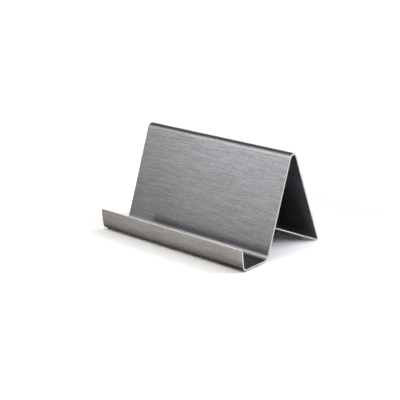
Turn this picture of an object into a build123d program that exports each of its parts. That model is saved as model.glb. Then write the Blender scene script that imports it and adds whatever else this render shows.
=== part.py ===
"""Business card holder stand, folded from one strip of brushed stainless sheet.

Three bends turn the strip into a lip, a tray, a leaning back and a rear leg. The bend between the tray and
the back is the roundest. The holder stands on two thin stick-on pads under the tray and on the lower edge
of the leg.

X runs along the cards, Y from the lip to the leg and Z up. The origin is on the desk, under the middle of
the holder.
"""

import os
from math import cos, isclose, radians, sin, tan

from build123d import *

# Driving dimensions of the sheet, in millimetres and degrees
sheet_width = 95.0  # along the long side of a card
sheet_thickness = 1.0
bend_radius = 2.0  # inside the front bend and the ridge
rear_bend_radius = 3.0  # inside the bend from the tray to the back
tray_inside_depth = 17.5  # lip to back along the tray floor, between the sharp inner corners
lip_inside_height = 10.4  # tray floor to the lip's cut edge
lip_lean = 7.5  # forwards, from upright
back_lean = 19.4  # backwards, from upright
leg_lean = 23.8  # backwards on the way down, from upright
holder_height = 51.4  # desk to the top of the ridge
blank_corner_radius = 0.5  # the four corners of the flat strip
edge_radius = 0.15  # deburred edges, all round the strip

# Driving dimensions of the pads
pad_diameter = 9.0
pad_thickness = 0.5
pad_rim_radius = 0.2
pad_end_margin = 6.0  # sheet end to the pad's rim

# Corners of the section's card side: along Y from the tray's inner front corner, then up from the desk
floor_top = pad_thickness + sheet_thickness
lip_end = (-lip_inside_height * tan(radians(lip_lean)), floor_top + lip_inside_height)
front_corner = (0, floor_top)
rear_corner = (tray_inside_depth, floor_top)

# The ridge's sharp corner lies above its rounded crest, which gives the holder its height
crest_radius = bend_radius + sheet_thickness
half_fold = radians((back_lean + leg_lean) / 2)
crest_tilt = radians((leg_lean - back_lean) / 2)
ridge_z = holder_height - crest_radius + crest_radius / sin(half_fold) * cos(crest_tilt)
ridge_corner = (tray_inside_depth + (ridge_z - floor_top) * tan(radians(back_lean)), ridge_z)


def edge_loss(slope):
    """How far a deburred edge falls short of its sharp corner, on a sheet that leans by this slope."""
    return edge_radius * (sin(slope) + cos(slope) - 1)


# The leg is cut square, so the inner edge of its end, rounded by deburring, is what meets the desk
leg_slope = radians(leg_lean)
leg_end_z = sheet_thickness * sin(leg_slope) - edge_loss(leg_slope)
leg_end = (ridge_corner[0] + (ridge_z - leg_end_z) * tan(leg_slope), leg_end_z)

# The middle of the footprint, from the lip's front edge to the leg's rear edge, comes over the origin
lip_slope = radians(lip_lean)
lip_front = lip_end[0] - sheet_thickness * cos(lip_slope) + edge_loss(lip_slope)
leg_back = leg_end[0] - edge_loss(leg_slope)
depth_middle = (lip_front + leg_back) / 2
section_plane = Plane((0, -depth_middle, 0), x_dir=(0, 1, 0), z_dir=(1, 0, 0))

# The tray's flat underside ends where its two bends begin, and the pads sit half-way between them
flat_front = bend_radius * tan(radians(90 - lip_lean) / 2)
flat_rear = tray_inside_depth - rear_bend_radius * tan(radians(90 - back_lean) / 2)
pad_y = (flat_front + flat_rear) / 2 - depth_middle
pad_x = sheet_width / 2 - pad_end_margin - pad_diameter / 2

os.makedirs("parts", exist_ok=True)


def runs_across_sheet(edge):
    """True for a straight edge as long as the sheet is thick, which is a corner of the strip."""
    return edge.geom_type == GeomType.LINE and isclose(edge.length, sheet_thickness, rel_tol=1e-4)


def is_sharp(edge, faces):
    """True where the two faces along this edge meet at an angle and don't run on smoothly."""
    first, second = (face.normal_at(edge @ 0.5) for face in faces if edge in face.edges())
    return first != second


# Folded sheet: the bent strip's section, drawn along its card side, thickened and run along the cards
with BuildPart() as folded_sheet:
    with BuildSketch(section_plane) as section:
        with BuildLine():
            FilletPolyline(
                lip_end,
                front_corner,
                rear_corner,
                ridge_corner,
                leg_end,
                radius=(bend_radius, rear_bend_radius, crest_radius),
            )
            offset(amount=sheet_thickness, side=Side.RIGHT)
        make_face()
    extrude(amount=sheet_width / 2, both=True)

    # The strip's four corners are rounded across the sheet
    fillet(folded_sheet.edges().filter_by(runs_across_sheet), radius=blank_corner_radius)

    # The cut rim is deburred on both faces of the sheet
    faces = folded_sheet.faces()
    fillet(folded_sheet.edges().filter_by(lambda edge: is_sharp(edge, faces)), radius=edge_radius)
folded_sheet.part.label = "folded_sheet"
export_step(folded_sheet.part, "parts/folded_sheet.step")
print(f"flat strip {sheet_width:.1f} x {section.sketch.area / sheet_thickness:.1f} mm before bending")

# Anti-slip pads: thin discs on the tray's flat underside, with a rounded lower rim
for side, x in (("left", -pad_x), ("right", pad_x)):
    with BuildPart() as pad:
        with BuildSketch(Plane((x, pad_y, 0))):
            Circle(pad_diameter / 2)
        extrude(amount=pad_thickness)
        fillet(pad.edges().sort_by(Axis.Z)[0], radius=pad_rim_radius)
    pad.part.label = f"anti_slip_pad_{side}"
    export_step(pad.part, f"parts/anti_slip_pad_{side}.step")
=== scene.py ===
# %% [markdown]
# A business card holder on a white table. The holder is one strip of brushed stainless steel, folded
# three times: a short lip, a flat tray, a leaning back and, over a ridge, a rear leg. Two thin rubber
# pads under the tray keep it from sliding. The CAD model already has that shape to a hundredth of a
# millimetre, with its bends, rounded corners and deburred rim, so nothing is modelled twice here. What
# this lesson adds is what the eye sees on that shape: the brushed faces, the bare metal of the cut rim,
# the rubber of the pads, and a studio for the metal to mirror.

# %% Load the frame
from math import cos, pi, radians, sin

import bpy
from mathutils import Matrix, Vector


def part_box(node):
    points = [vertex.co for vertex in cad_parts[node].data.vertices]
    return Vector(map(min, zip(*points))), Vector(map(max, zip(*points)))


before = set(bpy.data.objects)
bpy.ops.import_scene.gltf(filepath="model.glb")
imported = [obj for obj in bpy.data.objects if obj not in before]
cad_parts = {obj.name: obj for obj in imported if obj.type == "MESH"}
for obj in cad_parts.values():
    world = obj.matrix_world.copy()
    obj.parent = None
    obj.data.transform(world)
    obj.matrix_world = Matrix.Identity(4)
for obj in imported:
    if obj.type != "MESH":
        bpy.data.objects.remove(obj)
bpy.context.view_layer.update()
MM = 0.001

for name in sorted(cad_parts):
    low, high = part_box(name)
    print(name, "is", [round((b - a) / MM, 2) for a, b in zip(low, high)], "mm")

# %% [markdown]
# The camera comes first, because every finish is judged through it. Its place was worked out by laying
# the folded section over the straight edges in the picture: the ridge, the lip, the ends of the back
# and the leg's edge. Two angles, a distance and a focal length say it all. A long lens from half a
# metre away is what a product photographer uses on so small an object, as it keeps the ridge and the
# lip nearly parallel. The view transform is Standard, so that colours come out as they are written.

# %% Camera
CAMERA_AZIMUTH = radians(40.96)  # round from the lip's side towards the holder's right end
CAMERA_ELEVATION = radians(18.18)
CAMERA_DISTANCE = 543.6 * MM
CAMERA_AIM = Vector((-6.25, 0, 17.7)) * MM
CAMERA_LENS = 93.4  # focal length, in millimetres
SENSOR_WIDTH = 36  # in millimetres, and the picture is square


def direction(azimuth, elevation):
    """The way to something at this angle round from the lip's side and this angle above the table."""
    return Vector((sin(azimuth) * cos(elevation), -cos(azimuth) * cos(elevation), sin(elevation)))


def facing_along(way):
    """The turn that makes a camera or a lamp look from that way to the middle."""
    return way.to_track_quat("Z", "Y").to_euler()


towards_camera = direction(CAMERA_AZIMUTH, CAMERA_ELEVATION)
lens = bpy.data.cameras.new("product_camera")
lens.lens = CAMERA_LENS
lens.sensor_width = SENSOR_WIDTH
camera = bpy.data.objects.new("product_camera", lens)
camera.location = CAMERA_AIM + towards_camera * CAMERA_DISTANCE
camera.rotation_euler = facing_along(towards_camera)
bpy.context.scene.collection.objects.link(camera)
bpy.context.scene.camera = camera
bpy.context.scene.view_settings.view_transform = "Standard"
print("camera at", [round(v / MM, 1) for v in camera.location], "mm")

# %% [markdown]
# Materials are made of nodes, and three small helpers keep them readable. Colours are written as they
# look on a screen, as sRGB hex values, but Blender shades in linear light, so the first function
# converts them. The second adds a node, with its settings and what each of its sockets is fed: a plain
# value, or another node's output. A socket goes by its name or, where names repeat, by its number. Math
# and Vector Math take their values at 0 and 1. A Map Range takes its value at 0, the range it comes
# from at 1 and 2, and the range it goes to at 3 and 4. A Mix takes the share at 0 and what is mixed at
# 2 and 3, or at 6 and 7 for colours. The third function starts a material.

# %% Helpers for materials


def linear(hex_colour):
    """An sRGB hex colour as the linear colour, with alpha, that a socket takes."""
    channels = [int(hex_colour[i:i + 2], 16) / 255 for i in (1, 3, 5)]
    return [c / 12.92 if c <= 0.04045 else ((c + 0.055) / 1.055) ** 2.4 for c in channels] + [1]


def add(tree, kind, sockets=None, **settings):
    """Adds a node with these settings. A socket, by name or number, gets a value or a node's output."""
    node = tree.nodes.new(kind)
    for setting, value in settings.items():
        setattr(node, setting, value)
    for socket, value in (sockets or {}).items():
        if isinstance(value, bpy.types.NodeSocket):
            tree.links.new(value, node.inputs[socket])
        else:
            node.inputs[socket].default_value = value
    return node


def new_material(name):
    """A new material, with its empty node tree and its output node."""
    material = bpy.data.materials.new(name)
    material.use_nodes = True
    material.node_tree.nodes.clear()
    return material, material.node_tree, material.node_tree.nodes.new("ShaderNodeOutputMaterial")


print("the middle grey #808080 is", round(linear("#808080")[0], 3), "in linear light")

# %% [markdown]
# Brushed stainless steel. A coil of steel is drawn under an abrasive belt, which leaves fine, nearly
# parallel scratches, here along the cards. They give the eye two things: hairlines, and a mirror image
# that is smeared across the scratches but fairly sharp along them. The hairlines could be cut as
# geometry or painted as a picture, but noise stretched along X is lighter, never repeats and bends
# round the folds with the sheet. Belt scratches are about 0.05 mm wide, too fine for a picture with
# half a millimetre to the pixel, so they are drawn about 0.3 mm wide. The places where the belt bit
# deeper are drawn as longer and broader streaks.

# %% Scratches along the cards
HAIRLINE_WIDTH = 0.28 * MM  # drawn coarser than the real 0.05 mm, so that it shows
HAIRLINE_LENGTH = 1.9 * MM
STREAK_WIDTH = 0.5 * MM
STREAK_LENGTH = 14 * MM
STREAK_SHARE = 0.45  # of the grain, the rest being hairlines
HAIRLINE_DETAIL, STREAK_DETAIL = 2, 1  # finer layers that are laid over the noise
NOISE_LOW, NOISE_HIGH = 0.3, 0.7  # noise seldom leaves this range

steel, tree, output = new_material("brushed_stainless_steel")
place = add(tree, "ShaderNodeTexCoord").outputs["Object"]


def stretched_noise(width, length, detail):
    """Noise whose spots are this wide across the scratches and this long along them."""
    scale = (1 / length, 1 / width, 1 / width)
    laid = add(tree, "ShaderNodeVectorMath", {0: place, 1: scale}, operation="MULTIPLY").outputs[0]
    return add(tree, "ShaderNodeTexNoise", {"Vector": laid, "Scale": 1, "Detail": detail}).outputs["Fac"]


hairlines = stretched_noise(HAIRLINE_WIDTH, HAIRLINE_LENGTH, HAIRLINE_DETAIL)
streaks = stretched_noise(STREAK_WIDTH, STREAK_LENGTH, STREAK_DETAIL)
mixed = add(tree, "ShaderNodeMix", {0: STREAK_SHARE, 2: hairlines, 3: streaks}).outputs[0]
grain = add(tree, "ShaderNodeMapRange", {0: mixed, 1: NOISE_LOW, 2: NOISE_HIGH}).outputs[0]
print("one hairline is about", round(HAIRLINE_WIDTH / MM, 2), "x", round(HAIRLINE_LENGTH / MM, 1), "mm")

# %% [markdown]
# The cut rim. The strip was sheared from the brushed sheet and its edge deburred, so the rim is bare,
# evenly matt metal, lighter than the brushed faces, and it draws a pale line round the holder. It could
# be a second material on the rim's own faces, but the CAD mesh has one slot and stays as it is. So a
# mask finds the rim by the way the surface faces: to an end of the holder, out of the lip's top, or out
# of the leg's foot. The last two directions follow from how far the lip and the leg lean. The tray and
# the ridge face the same ways, so each is kept to its own place.

# %% Where the sheet was cut
LIP_LEAN = radians(7.5)  # from upright, as in the folded section
LEG_LEAN = radians(23.8)
LIP_BEHIND = -25 * MM  # the lip's top is in front of this
LIP_ABOVE = 8 * MM  # and above this
LEG_IN_FRONT = 20 * MM  # the leg's foot is behind this
ROUND_FROM, ROUND_TO = 0.93, 0.995  # how squarely the deburred round faces where it blends into the cut

normal = add(tree, "ShaderNodeNewGeometry").outputs["Normal"]
spot = add(tree, "ShaderNodeSeparateXYZ", {0: place}).outputs


def faces_along(way):
    """How far the surface faces along this way: one straight along it, nought square to it."""
    return add(tree, "ShaderNodeVectorMath", {0: normal, 1: way}, operation="DOT_PRODUCT").outputs["Value"]


def only_where(value, coordinate, comparison, limit):
    """The value where a coordinate is less or greater than a limit, and nought elsewhere."""
    inside = add(tree, "ShaderNodeMath", {0: coordinate, 1: limit}, operation=comparison).outputs[0]
    return add(tree, "ShaderNodeMath", {0: value, 1: inside}, operation="MULTIPLY").outputs[0]


end_cut = add(tree, "ShaderNodeMath", {0: faces_along((1, 0, 0))}, operation="ABSOLUTE").outputs[0]
lip_cut = faces_along((0, -sin(LIP_LEAN), cos(LIP_LEAN)))
lip_cut = only_where(lip_cut, spot["Y"], "LESS_THAN", LIP_BEHIND)
lip_cut = only_where(lip_cut, spot["Z"], "GREATER_THAN", LIP_ABOVE)
leg_cut = faces_along((0, sin(LEG_LEAN), -cos(LEG_LEAN)))
leg_cut = only_where(leg_cut, spot["Y"], "GREATER_THAN", LEG_IN_FRONT)
cut = add(tree, "ShaderNodeMath", {0: end_cut, 1: lip_cut}, operation="MAXIMUM").outputs[0]
cut = add(tree, "ShaderNodeMath", {0: cut, 1: leg_cut}, operation="MAXIMUM").outputs[0]
rim = add(tree, "ShaderNodeMapRange", {0: cut, 1: ROUND_FROM, 2: ROUND_TO}).outputs[0]
print("the rim is found at the two ends, the lip's top and the leg's foot")

# %% [markdown]
# The bend between the tray and the back. A press brake forced the brushed face into a groove there, and
# the punch rubbed over its scratches. They lie closer and less even than on the flat, so the bend's
# mirror image is softer: a broad, quiet band of light instead of a sharp line. The distance from the
# line where the tray and the back would meet tells how far a spot is into the bend. It is measured
# across the sheet only, so the X coordinate is dropped.

# %% Where the rear bend squeezed the scratches
REAR_CORNER = Vector((0, -12.1, 1.5)) * MM  # where the tray's floor and the back's front would meet
SQUEEZED_WITHIN = 1.5 * MM
UNTOUCHED_FROM = 3.5 * MM
DROP_X = (0, 1, 1)

across_sheet = add(tree, "ShaderNodeVectorMath", {0: place, 1: DROP_X}, operation="MULTIPLY").outputs[0]
from_corner = add(
    tree, "ShaderNodeVectorMath", {0: across_sheet, 1: REAR_CORNER}, operation="DISTANCE"
).outputs["Value"]
squeezed = add(
    tree, "ShaderNodeMapRange", {0: from_corner, 1: SQUEEZED_WITHIN, 2: UNTOUCHED_FROM, 3: 1, 4: 0}
).outputs[0]
print("the bend's scratches are squeezed within", SQUEEZED_WITHIN / MM, "mm of its corner")

# %% [markdown]
# Now the steel itself. Stainless steel is a neutral, slightly cool grey metal, and a brushed face
# mirrors about a third of the light. Its scratches look darker where they are deep, so the grain drives
# the colour, and a little of the roughness and the relief as well. Brushed steel starts at a roughness
# of about 0.3. It came down to 0.165 to 0.185, at which the lip's mirror image in the back is as dark
# and as soft as the real one. Anisotropic stretches the mirror image across a direction, and the
# tangent and its quarter turn make that direction the scratches'. A tangent exactly along X would have
# no direction on the ends, which face along X, so it points a hair off it. The rim is one even tone,
# and a metallic of 0.3 lets the lamps light it as they light a matt surface, which is how sheared metal
# scatters them.

# %% Brushed stainless steel
GRAIN_DEPTH = 0.02 * MM  # a belt scratch is a few hundredths of a millimetre deep at most
RELIEF = 0.05  # share of that depth which the shading shows
ROUGH_IN_SCRATCHES, ROUGH_BETWEEN = 0.185, 0.165
SQUEEZED_ROUGH = 0.28
RIM_ROUGH = 0.45
RIM_METALLIC = 0.3
SCRATCH_GREY, FACE_GREY, RIM_WHITE = "#79797C", "#A9A9AC", "#F8F3EB"
STRETCH = 0.8  # of the mirror image across the scratches
QUARTER_TURN = 0.25
HAIR_OFF = 0.01  # of the tangent from X

face_colour = add(
    tree, "ShaderNodeMix", {0: grain, 6: linear(SCRATCH_GREY), 7: linear(FACE_GREY)}, data_type="RGBA"
).outputs[2]
steel_colour = add(
    tree, "ShaderNodeMix", {0: rim, 6: face_colour, 7: linear(RIM_WHITE)}, data_type="RGBA"
).outputs[2]
face_rough = add(
    tree, "ShaderNodeMapRange", {0: grain, 3: ROUGH_IN_SCRATCHES, 4: ROUGH_BETWEEN}
).outputs[0]
face_rough = add(tree, "ShaderNodeMix", {0: squeezed, 2: face_rough, 3: SQUEEZED_ROUGH}).outputs[0]
steel_rough = add(tree, "ShaderNodeMix", {0: rim, 2: face_rough, 3: RIM_ROUGH}).outputs[0]
steel_metallic = add(tree, "ShaderNodeMapRange", {0: rim, 3: 1, 4: RIM_METALLIC}).outputs[0]
steel_relief = add(
    tree, "ShaderNodeBump", {"Height": grain, "Strength": RELIEF, "Distance": GRAIN_DEPTH}
).outputs[0]
along_scratches = add(tree, "ShaderNodeCombineXYZ", {"X": 1, "Y": HAIR_OFF, "Z": HAIR_OFF}).outputs[0]
shader = add(tree, "ShaderNodeBsdfPrincipled", {
    "Base Color": steel_colour,
    "Metallic": steel_metallic,
    "Roughness": steel_rough,
    "Anisotropic": STRETCH,
    "Anisotropic Rotation": QUARTER_TURN,
    "Tangent": along_scratches,
    "Normal": steel_relief,
})
tree.links.new(shader.outputs[0], output.inputs["Surface"])
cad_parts["folded_sheet"].material_slots[0].material = steel
print("brushed stainless steel has", len(tree.nodes), "nodes")

# %% [markdown]
# Anti-slip pads. Each is a disc punched from black polyurethane rubber sheet, with a glue layer on top
# that holds it to the steel. Rubber of this kind is matt and never quite black: it scatters light from
# a skin with a fine pebble, and dust settles in it. Fine noise gives the pebble its relief and the dust
# its tone. Polyurethane has an IOR of about 1.5, and a roughness of 0.75 leaves only a faint sheen.

# %% Rubber pads
PEBBLE = 0.4 * MM
PEBBLE_DETAIL = 3  # finer layers that are laid over the noise
PEBBLE_DEPTH = 0.03 * MM
PEBBLE_RELIEF = 0.3  # share of that depth which the shading shows
RUBBER_BLACK, DUSTY_BLACK = "#2C2C2E", "#3A3A3C"
RUBBER_ROUGH = 0.75
RUBBER_IOR = 1.5

rubber, tree, output = new_material("punched_polyurethane_rubber")
place = add(tree, "ShaderNodeTexCoord").outputs["Object"]
pebbles = add(
    tree, "ShaderNodeTexNoise", {"Vector": place, "Scale": 1 / PEBBLE, "Detail": PEBBLE_DETAIL}
).outputs["Fac"]
rubber_colour = add(
    tree, "ShaderNodeMix", {0: pebbles, 6: linear(RUBBER_BLACK), 7: linear(DUSTY_BLACK)}, data_type="RGBA"
).outputs[2]
rubber_relief = add(
    tree, "ShaderNodeBump", {"Height": pebbles, "Strength": PEBBLE_RELIEF, "Distance": PEBBLE_DEPTH}
).outputs[0]
shader = add(tree, "ShaderNodeBsdfPrincipled", {
    "Base Color": rubber_colour,
    "Roughness": RUBBER_ROUGH,
    "IOR": RUBBER_IOR,
    "Normal": rubber_relief,
})
tree.links.new(shader.outputs[0], output.inputs["Surface"])
for name in ("anti_slip_pad_left", "anti_slip_pad_right"):
    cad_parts[name].material_slots[0].material = rubber
print("two pads of punched polyurethane rubber")

# %% [markdown]
# The table's shape. It is white paper that runs out of the picture on every side. In the picture a
# hairline of light shows under the leg, growing towards its right end, because no table is flat to a
# tenth of a millimetre. The holder can't be lifted for that, so the paper dips instead: a mesh with
# fine rows round the leg's foot, lowered by less than half a millimetre. One helper makes a smooth
# sheet from rows of points, and the studio's cards use it later.

# %% How the table dips
DIP = 0.45 * MM
DIP_ALONG = (-48 * MM, 48 * MM, 60 * MM, 120 * MM)  # along X: begins, is deepest between the two, ends
DIP_ACROSS = (14 * MM, 28 * MM, 36 * MM, 70 * MM)  # and the same along Y


def step(value, start, end):
    """Rises smoothly from nought at the start to one at the end."""
    part = min(max((value - start) / (end - start), 0), 1)
    return part * part * (3 - 2 * part)


def hollow(value, begin, deep_from, deep_to, end):
    """One between the two deep limits, and smoothly down to nought where the hollow begins and ends."""
    return step(value, begin, deep_from) * step(value, end, deep_to)


def table_height(x, y):
    """How high the paper lies here: lowest a little beyond the right end of the leg's foot."""
    return -DIP * hollow(x, *DIP_ALONG) * hollow(y, *DIP_ACROSS)


# %% Table with a slight dip
TABLE_END = 3.0  # in metres, from the middle to each of its edges, well out of the picture
COLUMN, COLUMNS = 5 * MM, range(-12, 25)  # from 60 mm left of the middle to 120 mm right of it
ROW, ROWS = 2 * MM, range(40)  # from the middle to 78 mm behind it


def stage_sheet(name, points, width, material):
    """A smooth sheet of the stage, from its points in rows of this many."""
    faces = [
        (r * width + c, r * width + c + 1, (r + 1) * width + c + 1, (r + 1) * width + c)
        for r in range(len(points) // width - 1)
        for c in range(width - 1)
    ]
    mesh = bpy.data.meshes.new(name)
    mesh.from_pydata(points, [], faces)
    mesh.polygons.foreach_set("use_smooth", [True] * len(faces))
    sheet = bpy.data.objects.new(name, mesh)
    sheet.data.materials.append(material)
    bpy.context.scene.collection.objects.link(sheet)
    return sheet


paper, tree, output = new_material("matt_white_paper")
columns = [-TABLE_END] + [i * COLUMN for i in COLUMNS] + [TABLE_END]
rows = [-TABLE_END] + [i * ROW for i in ROWS] + [TABLE_END]
table_points = [(x, y, table_height(x, y)) for y in rows for x in columns]
stage_sheet("white_table", table_points, len(columns), paper)
print("the table dips by", round(-min(z for x, y, z in table_points) / MM, 2), "mm at most")

# %% [markdown]
# The table's paper. A catalogue picture is lifted afterwards until its table is pure white, but the
# steel still mirrors the table as it was lit. More light would spoil the steel, so the paper has three
# colours, and the Light Path node picks one by the kind of ray that comes to it. The camera finds the
# lifted paper: a little more lifted at the lip's left end, where the picture's shadow ends, which is
# painted light that pales the holder's shadow there, and less so far behind the holder, where more
# would eat into its outline. Mirror rays find a paper with light and shade painted into its colour,
# graded until the steel matched the picture: warm painted light in front, a painted shadow at the lip's
# foot, where the lip stands in its own light, a little more painted shade to the holder's left, and a
# dimmer, cool paper inside the tent of back and leg. Rays of bounced light find a light grey. All of
# them keep the lamps' shadows, because the paper stays a diffuse surface.

# %% Paper as the camera finds it
# painted light: the paper that the camera finds is lifted more towards the lip's left end, over the
# holder's shadow there
LIFT_NEAR, LIFT_PAINTED_LEFT, LIFT_FAR = 1.43, 1.57, 1.06  # times as light as white
LIFT_LEFT_FROM, LIFT_LEFT_TO = -38 * MM, -52 * MM  # along X
LIFT_FADES_FROM, LIFT_FADES_TO = 20 * MM, 80 * MM  # along Y

place = add(tree, "ShaderNodeTexCoord").outputs["Object"]
spot = add(tree, "ShaderNodeSeparateXYZ", {0: place}).outputs
side, depth = spot["X"], spot["Y"]
# lifted more towards the lip's left end: painted light that pales the holder's shadow
near_lift = add(tree, "ShaderNodeMapRange", {
    0: side, 1: LIFT_LEFT_FROM, 2: LIFT_LEFT_TO, 3: LIFT_NEAR, 4: LIFT_PAINTED_LEFT,
}).outputs[0]
lifted = add(tree, "ShaderNodeMapRange", {
    0: depth, 1: LIFT_FADES_FROM, 2: LIFT_FADES_TO, 3: near_lift, 4: LIFT_FAR,
}).outputs[0]
print("the camera sees the paper", LIFT_NEAR, "times as light, fading to", LIFT_FAR)

# %% Paper as the steel mirrors it, with painted light and shade
# painted light in what the steel mirrors: one level in front and one inside the tent
FRONT_LEVEL, TENT_LEVEL = 1.47, 1.05  # times as light as its tint
FRONT_TINT, TENT_TINT = "#FFF8F0", "#FAFAFF"
# painted shadow at the lip's foot in what the steel mirrors: its level at the left and at the right
PAINTED_FOOT_SHADE_LEFT, PAINTED_FOOT_SHADE_RIGHT = 0.48, 0.24
FOOT_FROM, FOOT_TO = -39 * MM, -32 * MM  # from the front to the lip's foot, along Y
FOOT_LEFT, FOOT_RIGHT = -10 * MM, 40 * MM  # along X
TENT_FROM, TENT_TO = -20 * MM, -10 * MM  # from the lip's foot to the tent, along Y
# painted shade to the holder's left in what the steel mirrors
PAINTED_LEFT_SHADE = 0.84  # of the front's and the foot's level, to the holder's left
LEFT_FROM, LEFT_TO = -30 * MM, -60 * MM  # along X

in_tent = add(tree, "ShaderNodeMapRange", {0: depth, 1: TENT_FROM, 2: TENT_TO}).outputs[0]
painted_foot_shade = add(tree, "ShaderNodeMapRange", {
    0: side, 1: FOOT_LEFT, 2: FOOT_RIGHT, 3: PAINTED_FOOT_SHADE_LEFT, 4: PAINTED_FOOT_SHADE_RIGHT,
}).outputs[0]
# painted light in front, fading into the painted shadow at the lip's foot
level = add(
    tree, "ShaderNodeMapRange", {0: depth, 1: FOOT_FROM, 2: FOOT_TO, 3: FRONT_LEVEL, 4: painted_foot_shade}
).outputs[0]
painted_left_shade = add(
    tree, "ShaderNodeMapRange", {0: side, 1: LEFT_FROM, 2: LEFT_TO, 3: 1, 4: PAINTED_LEFT_SHADE}
).outputs[0]
level = add(tree, "ShaderNodeMath", {0: level, 1: painted_left_shade}, operation="MULTIPLY").outputs[0]
level = add(tree, "ShaderNodeMix", {0: in_tent, 2: level, 3: TENT_LEVEL}).outputs[0]
tint = add(
    tree, "ShaderNodeMix", {0: in_tent, 6: linear(FRONT_TINT), 7: linear(TENT_TINT)}, data_type="RGBA"
).outputs[2]
# the paper's colour as mirror rays find it, with its painted light and shade
painted_mirror_paper = add(tree, "ShaderNodeVectorMath", {0: tint, "Scale": level}, operation="SCALE").outputs[0]
print("the steel mirrors the paper", FRONT_LEVEL, "times as light in front,", TENT_LEVEL, "in the tent")

# %% Matt white paper
BOUNCE_GREY = "#BCBCBC"

ray = add(tree, "ShaderNodeLightPath").outputs
mirror_ray = add(
    tree, "ShaderNodeMath", {0: ray["Is Glossy Ray"], 1: ray["Is Transmission Ray"]}, operation="MAXIMUM"
).outputs[0]
paper_colour = add(
    tree, "ShaderNodeMix", {0: mirror_ray, 6: linear(BOUNCE_GREY), 7: painted_mirror_paper}, data_type="RGBA"
).outputs[2]
paper_colour = add(
    tree, "ShaderNodeMix", {0: ray["Is Camera Ray"], 6: paper_colour, 7: lifted}, data_type="RGBA"
).outputs[2]
shader = add(tree, "ShaderNodeBsdfDiffuse", {"Color": paper_colour})
tree.links.new(shader.outputs[0], output.inputs["Surface"])
print("matt white paper has", len(tree.nodes), "nodes")

# %% [markdown]
# The world is a white room: the camera and the mirror rays find white, and everything else finds black,
# so that only the lamps light the table. A mirror ray that has already been scattered by the paper
# finds black too. Otherwise the steel would throw the white room's light back into the shadow under the
# tent.

# %% White room
world = bpy.data.worlds.new("white_room")
bpy.context.scene.world = world
world.use_nodes = True
tree = world.node_tree
tree.nodes.clear()
output = tree.nodes.new("ShaderNodeOutputWorld")


def unscattered(tree, ray):
    """One on a ray that matt surfaces have scattered less than once, and nought on any other."""
    return add(tree, "ShaderNodeMath", {0: ray["Diffuse Depth"], 1: 1}, operation="LESS_THAN").outputs[0]


ray = add(tree, "ShaderNodeLightPath").outputs
seen = add(
    tree, "ShaderNodeMath", {0: ray["Is Camera Ray"], 1: ray["Is Glossy Ray"]}, operation="MAXIMUM"
).outputs[0]
seen = add(tree, "ShaderNodeMath", {0: seen, 1: ray["Is Transmission Ray"]}, operation="MAXIMUM").outputs[0]
seen = add(tree, "ShaderNodeMath", {0: seen, 1: unscattered(tree, ray)}, operation="MULTIPLY").outputs[0]
room = add(tree, "ShaderNodeBackground", {"Color": (1, 1, 1, 1), "Strength": seen})
tree.links.new(room.outputs[0], output.inputs["Surface"])
print("the room is white to the camera and the mirror rays, with", len(tree.nodes), "nodes")

# %% [markdown]
# Three softboxes light the table and the matt rim. The soft shadows in the picture show where they
# were: a low one behind on the right, which throws the holder's shadow towards the lip, a broad one in
# front on the left, and one overhead. A sun lamp with a wide angle is the simplest soft lamp, as its
# light is even all over. Together they give a flat surface about the light at which a colour renders as
# it is written. They are hidden from mirror rays, because the steel gets cards of its own to mirror.

# %% Softboxes
flat_light = 0
for name, azimuth, elevation, width, energy, colour in (
    ("rear_softbox", 140, 28, 45, 2.7, "#F8FAFF"),
    ("front_softbox", 330, 42, 75, 1.38, "#FFFCF7"),
    ("overhead_softbox", 0, 90, 60, 0.95, "#FFFFFF"),
):
    lamp = bpy.data.lights.new(name, "SUN")
    lamp.angle = radians(width)
    lamp.energy = energy
    lamp.color = linear(colour)[:3]
    softbox = bpy.data.objects.new(name, lamp)
    softbox.rotation_euler = facing_along(direction(radians(azimuth), radians(elevation)))
    softbox.visible_glossy = False
    bpy.context.scene.collection.objects.link(softbox)
    flat_light += energy * sin(radians(elevation))
print("light on the table is", round(flat_light / pi, 2), "of the level that shows colours as written")

# %% [markdown]
# Cards for the steel to mirror. Metal is as bright as what it mirrors, so a studio shapes it with white
# and grey cards. Each one here is a patch of a large dome round the holder, and only mirror rays find
# it. The front softbox is the one that the back mirrors. It glows most in its middle and less towards
# its lower edge, which makes the back lighter towards the ridge, and it falls off to the left, as the
# back does. Its top fades into a dark ceiling, which makes the ridge darker towards its crest. The leg's
# outside mirrors a softbox and a grey wall behind. Every card glows dimmer to a ray that has already
# come off the steel once, which paints shade into the tray, as the tray shows the cards by way of the back.

# %% A patch of the dome
DOME_MIDDLE = Vector((0, 0, 25)) * MM
DOME_RADIUS = 1.0
CARD_COLUMNS, CARD_ROWS = 9, 13


def card_points(across, climb):
    """Points of a dome's patch: two shares of the radius to the right, two angles up from the front."""
    points = []
    for row in range(CARD_ROWS):
        angle = radians(climb[0] + (climb[1] - climb[0]) * row / (CARD_ROWS - 1))
        for column in range(CARD_COLUMNS):
            x = across[0] + (across[1] - across[0]) * column / (CARD_COLUMNS - 1)
            away = (1 - x * x) ** 0.5
            points.append(DOME_MIDDLE + DOME_RADIUS * Vector((x, -away * cos(angle), away * sin(angle))))
    return points


print("a card has", CARD_COLUMNS, "x", CARD_ROWS, "points,", DOME_RADIUS, "m from the holder")

# %% How the front softbox glows
RISE_FROM, RISE_TO = 5.8, 27.5  # degrees up from the front, between which it gains light
FALL_FROM, FALL_TO = 52, 88  # and between which it loses light again
DIM_SHARE = 0.1  # of its light at its lower edge and at its top


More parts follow.
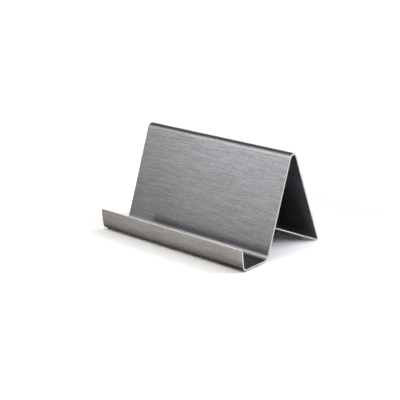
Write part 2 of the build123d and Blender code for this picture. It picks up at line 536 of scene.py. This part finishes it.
def softbox_share(tree, spot):
    """The share of its light that the front softbox gives here: most in its middle, least at its edges."""
    front = add(tree, "ShaderNodeMath", {0: spot["Y"], 1: -1}, operation="MULTIPLY").outputs[0]
    angle = add(tree, "ShaderNodeMath", {0: spot["Z"], 1: front}, operation="ARCTAN2").outputs[0]
    rise = add(tree, "ShaderNodeMapRange", {
        0: angle, 1: radians(RISE_FROM), 2: radians(RISE_TO), 3: DIM_SHARE, 4: 1,
    }).outputs[0]
    fall = add(tree, "ShaderNodeMapRange", {
        0: angle, 1: radians(FALL_FROM), 2: radians(FALL_TO), 3: 1, 4: DIM_SHARE,
    }).outputs[0]
    return add(tree, "ShaderNodeMath", {0: rise, 1: fall}, operation="MINIMUM").outputs[0]


print("the front softbox glows fully from", RISE_TO, "to", FALL_FROM, "degrees up")

# %% Cards
FADE_FROM, FADE_TO = -0.76 * DOME_RADIUS, -0.6 * DOME_RADIUS  # along X, where a card's light changes
# painted shade: a card glows dimmer by way of a second mirror, which darkens the tray
SECOND_MIRROR_SHADE = 0.29  # of a card's light by way of a second mirror
LEFT_END, WALL_END, CEILING_END, RIGHT_END = -0.98, -0.8, -0.25, 0.98  # shares of the radius, along X
FRONT_FOOT, REAR_FOOT = -1, 181  # degrees up from the front, both just below level
REAR_BOX_FROM, REAR_BOX_TO = 112, 150  # and the rear softbox's edges


def studio_card(name, across, climb, levels, graded=None):
    """A card that only mirror rays find, from its left level to its right level, and graded if asked."""
    material, tree, output = new_material(name)
    place = add(tree, "ShaderNodeTexCoord").outputs["Object"]
    spot = add(tree, "ShaderNodeVectorMath", {0: place, 1: DOME_MIDDLE}, operation="SUBTRACT").outputs[0]
    spot = add(tree, "ShaderNodeSeparateXYZ", {0: spot}).outputs
    level = add(tree, "ShaderNodeMapRange", {
        0: spot["X"], 1: FADE_FROM, 2: FADE_TO, 3: levels[0], 4: levels[1],
    }).outputs[0]
    ray = add(tree, "ShaderNodeLightPath").outputs
    # painted shade: dimmer to a ray that has come off the steel more than once, which darkens the tray
    again = add(
        tree, "ShaderNodeMapRange", {0: ray["Glossy Depth"], 1: 1, 2: 2, 3: 1, 4: SECOND_MIRROR_SHADE}
    ).outputs[0]
    shares = [unscattered(tree, ray), again]
    if graded:
        shares.append(graded(tree, spot))
    for share in shares:
        level = add(tree, "ShaderNodeMath", {0: level, 1: share}, operation="MULTIPLY").outputs[0]
    glow = add(tree, "ShaderNodeEmission", {"Strength": level})
    tree.links.new(glow.outputs[0], output.inputs["Surface"])
    card = stage_sheet(name, card_points(across, climb), CARD_COLUMNS, material)
    card.visible_camera = False
    card.visible_diffuse = False
    card.visible_shadow = False
    print(name, "climbs from", climb[0], "to", climb[1], "degrees")


studio_card("front_softbox_card", (WALL_END, RIGHT_END), (FRONT_FOOT, FALL_TO), (0.8, 2.0), softbox_share)
studio_card("left_wall_card", (LEFT_END, WALL_END), (FRONT_FOOT, FALL_TO), (0.35, 0.35))
studio_card("ceiling_card", (LEFT_END, CEILING_END), (FALL_TO, REAR_BOX_TO), (0.2, 0.2))
studio_card("rear_softbox_card", (CEILING_END, RIGHT_END), (REAR_BOX_FROM, REAR_BOX_TO), (1.7, 1.7))
studio_card("rear_wall_card", (LEFT_END, RIGHT_END), (REAR_BOX_TO, REAR_FOOT), (0.55, 0.55))
